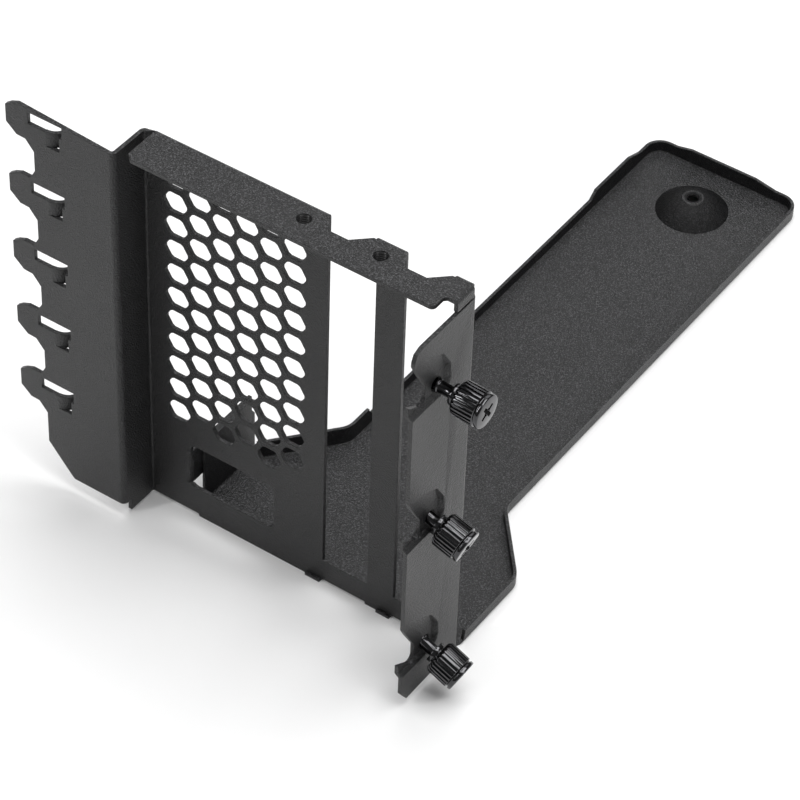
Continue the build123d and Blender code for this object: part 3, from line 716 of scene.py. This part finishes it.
class BRACKET_OT_turn_thumbscrews(bpy.types.Operator):
    """Turn, knurl and plate one thumbscrew and set a copy in each hole of the flange"""

    bl_idname = "bracket.turn_thumbscrews"
    bl_label = "Turn the thumbscrews"

    def execute(self, context):
        settings = context.scene.bracket_thumbscrew
        model = turn_thumbscrew(settings)
        model.data.materials.append(black_nickel(settings))
        length = settings.neck_length + settings.head_length
        for joint in frame["joints"]:
            node = joint["child"]
            pivot, axis = Vector(joint["pos_m"]), Vector(joint["axis"])
            reach = max((v.co - pivot).dot(axis) for v in frame["nodes"][node].data.vertices) - length
            only(model)
            bpy.ops.object.duplicate(linked=False)
            screw = bpy.context.object
            screw.name = screw.data.name = "plated_" + node
            turned = Matrix.Rotation(atan2(-axis.z, axis.x), 4, "Y") @ Matrix.Rotation(pi / 2, 4, "Y")
            screw.matrix_world = Matrix.Translation(pivot + reach * axis) @ turned
            bpy.ops.object.transform_apply(location=True, rotation=True, scale=True)
            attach(screw, node)
            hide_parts(node)
        bpy.data.objects.remove(model)
        return {"FINISHED"}


def softbox(name, place, aim, size, power):
    """An area light that shines from a place towards a point."""
    bpy.ops.object.light_add(type="AREA", location=place)
    light = bpy.context.object
    light.name = name
    light.rotation_euler = (Vector(aim) - Vector(place)).to_track_quat("-Z", "Y").to_euler()
    light.data.shape = "RECTANGLE"
    light.data.size, light.data.size_y = size
    light.data.energy = power
    return light


class BRACKET_OT_set_studio(bpy.types.Operator):
    """Lay the pale floor, hang the softboxes and place the camera"""

    bl_idname = "bracket.set_studio"
    bl_label = "Set up the studio"

    def execute(self, context):
        studio = context.scene.bracket_studio
        bpy.ops.object.select_all(action="DESELECT")
        bpy.ops.mesh.primitive_plane_add(size=6, location=(0, 0, 0))
        floor = bpy.context.object
        floor.name = floor.data.name = "studio_floor"
        material, shader, add, links = new_material("floor_paper")
        place = add("ShaderNodeTexCoord").outputs["Object"]
        fibre = add("ShaderNodeTexNoise", {"Vector": place, "Scale": 30.0, "Detail": 5.0})
        tone = add("ShaderNodeValToRGB", {"Fac": fibre.outputs["Fac"]})
        pale = tuple(studio.floor_colour)
        ramp(tone, (0.3, tuple(0.99 * c for c in pale)), (0.7, pale))
        links.new(tone.outputs["Color"], shader.inputs["Base Color"])
        shader.inputs["Roughness"].default_value = 0.9
        shader.inputs["Specular IOR Level"].default_value = 0.1
        floor.data.materials.append(material)

        world = bpy.data.worlds.new("white_room")
        context.scene.world = world
        world.use_nodes = True
        background = world.node_tree.nodes["Background"]
        background.inputs["Color"].default_value = (1.0, 1.0, 1.0, 1.0)
        background.inputs["Strength"].default_value = studio.room_light
        softbox("back_softbox", (-0.55, 0.95, 1.0), (0, 0, 0.05), (1.3, 1.0), studio.back_softbox)
        softbox("top_softbox", (0.25, 0.05, 1.4), (0, 0, 0), (1.1, 1.1), studio.top_softbox)
        softbox("side_softbox", (1.2, -0.2, 0.9), (0, 0, 0.05), (0.35, 1.2), studio.side_softbox)
        softbox("front_strip", (-0.6, -1.05, 0.95), (0, 0, 0.05), (0.1, 1.0), studio.front_strip)

        turned = (
            Matrix.Rotation(studio.azimuth, 3, "Z") @ Matrix.Rotation(pi / 2 - studio.elevation, 3, "X")
            @ Matrix.Rotation(studio.roll, 3, "Z")
        )
        backward = turned @ Vector((0, 0, 1))
        aim = PLATE_LOW + Vector(studio.aim)
        bpy.ops.object.camera_add(location=aim + studio.distance * backward, rotation=turned.to_euler())
        camera = bpy.context.object
        camera.name = "photo_camera"
        camera.data.sensor_width = 36.0
        camera.data.lens = studio.focal_length
        camera.data.clip_start, camera.data.clip_end = 0.01, 20.0
        context.scene.camera = camera
        context.scene.view_settings.view_transform = "Standard"
        return {"FINISHED"}


class BRACKET_PT_panel(bpy.types.Panel):
    """Lists the bracket's pieces and the studio"""

    bl_label = "Card support bracket"
    bl_idname = "BRACKET_PT_panel"
    bl_space_type = "VIEW_3D"
    bl_region_type = "UI"
    bl_category = "Bracket"

    def draw(self, context):
        scene = context.scene
        for settings, operator in (
            (scene.bracket_coat, BRACKET_OT_coat_sheets),
            (scene.bracket_boss, BRACKET_OT_press_boss),
            (scene.bracket_tapping, BRACKET_OT_tap_ledge_holes),
            (scene.bracket_thumbscrew, BRACKET_OT_turn_thumbscrews),
            (scene.bracket_studio, BRACKET_OT_set_studio),
        ):
            box = self.layout.box()
            for name in settings.__annotations__:
                box.prop(settings, name)
            box.operator(operator.bl_idname)


CLASSES = (
    CoatSettings, BossSettings, TappingSettings, ThumbscrewSettings, StudioSettings,
    BRACKET_OT_coat_sheets, BRACKET_OT_press_boss, BRACKET_OT_tap_ledge_holes,
    BRACKET_OT_turn_thumbscrews, BRACKET_OT_set_studio, BRACKET_PT_panel,
)


def register():
    for cls in CLASSES:
        bpy.utils.register_class(cls)
    bpy.types.Scene.bracket_coat = PointerProperty(type=CoatSettings)
    bpy.types.Scene.bracket_boss = PointerProperty(type=BossSettings)
    bpy.types.Scene.bracket_tapping = PointerProperty(type=TappingSettings)
    bpy.types.Scene.bracket_thumbscrew = PointerProperty(type=ThumbscrewSettings)
    bpy.types.Scene.bracket_studio = PointerProperty(type=StudioSettings)


def unregister():
    del bpy.types.Scene.bracket_studio
    del bpy.types.Scene.bracket_thumbscrew
    del bpy.types.Scene.bracket_tapping
    del bpy.types.Scene.bracket_boss
    del bpy.types.Scene.bracket_coat
    for cls in reversed(CLASSES):
        bpy.utils.unregister_class(cls)


def main():
    register()
    bpy.ops.bracket.coat_sheets()
    bpy.ops.bracket.press_boss()
    bpy.ops.bracket.tap_ledge_holes()
    bpy.ops.bracket.turn_thumbscrews()
    bpy.ops.bracket.set_studio()


if __name__ == "__main__":
    main()
